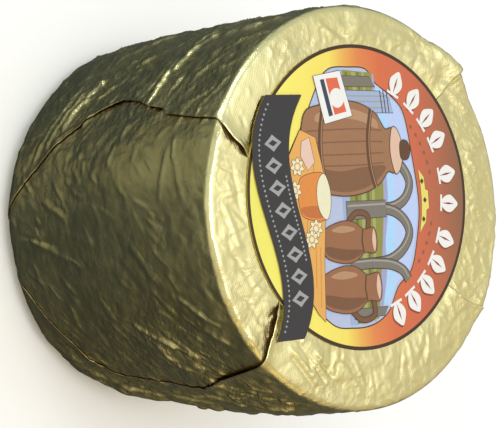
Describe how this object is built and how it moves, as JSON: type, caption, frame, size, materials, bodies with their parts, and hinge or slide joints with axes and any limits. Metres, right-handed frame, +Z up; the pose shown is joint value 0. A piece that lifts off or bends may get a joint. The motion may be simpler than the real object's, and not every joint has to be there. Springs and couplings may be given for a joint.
{
  "type": "foil-wrapped cheese wheel",
  "caption": "Small tall cheese wheel wrapped in crumpled gold foil, with a round paper label and its waving ribbon on the top.",
  "frame": {"origin": "centre of the foil's base, on the surface that the wheel stands on", "axes": "+Z up along the wheel's axis; the label reads upright when it is looked at from -Y; +X to the right"},
  "size_m": [0.1073, 0.1052, 0.0924],
  "materials": {
    "cheese": "washed rind of a pressed cheese, matt, slightly moist",
    "foil": "gold-lacquered foil laminate, crumpled, satin",
    "label": "coated paper, printed from yellow up to brown-red, semi-gloss"
  },
  "bodies": {
    "root": {"cheese": "cheese", "foil_wrap": "foil", "label": "label"}
  },
  "joints": []
}
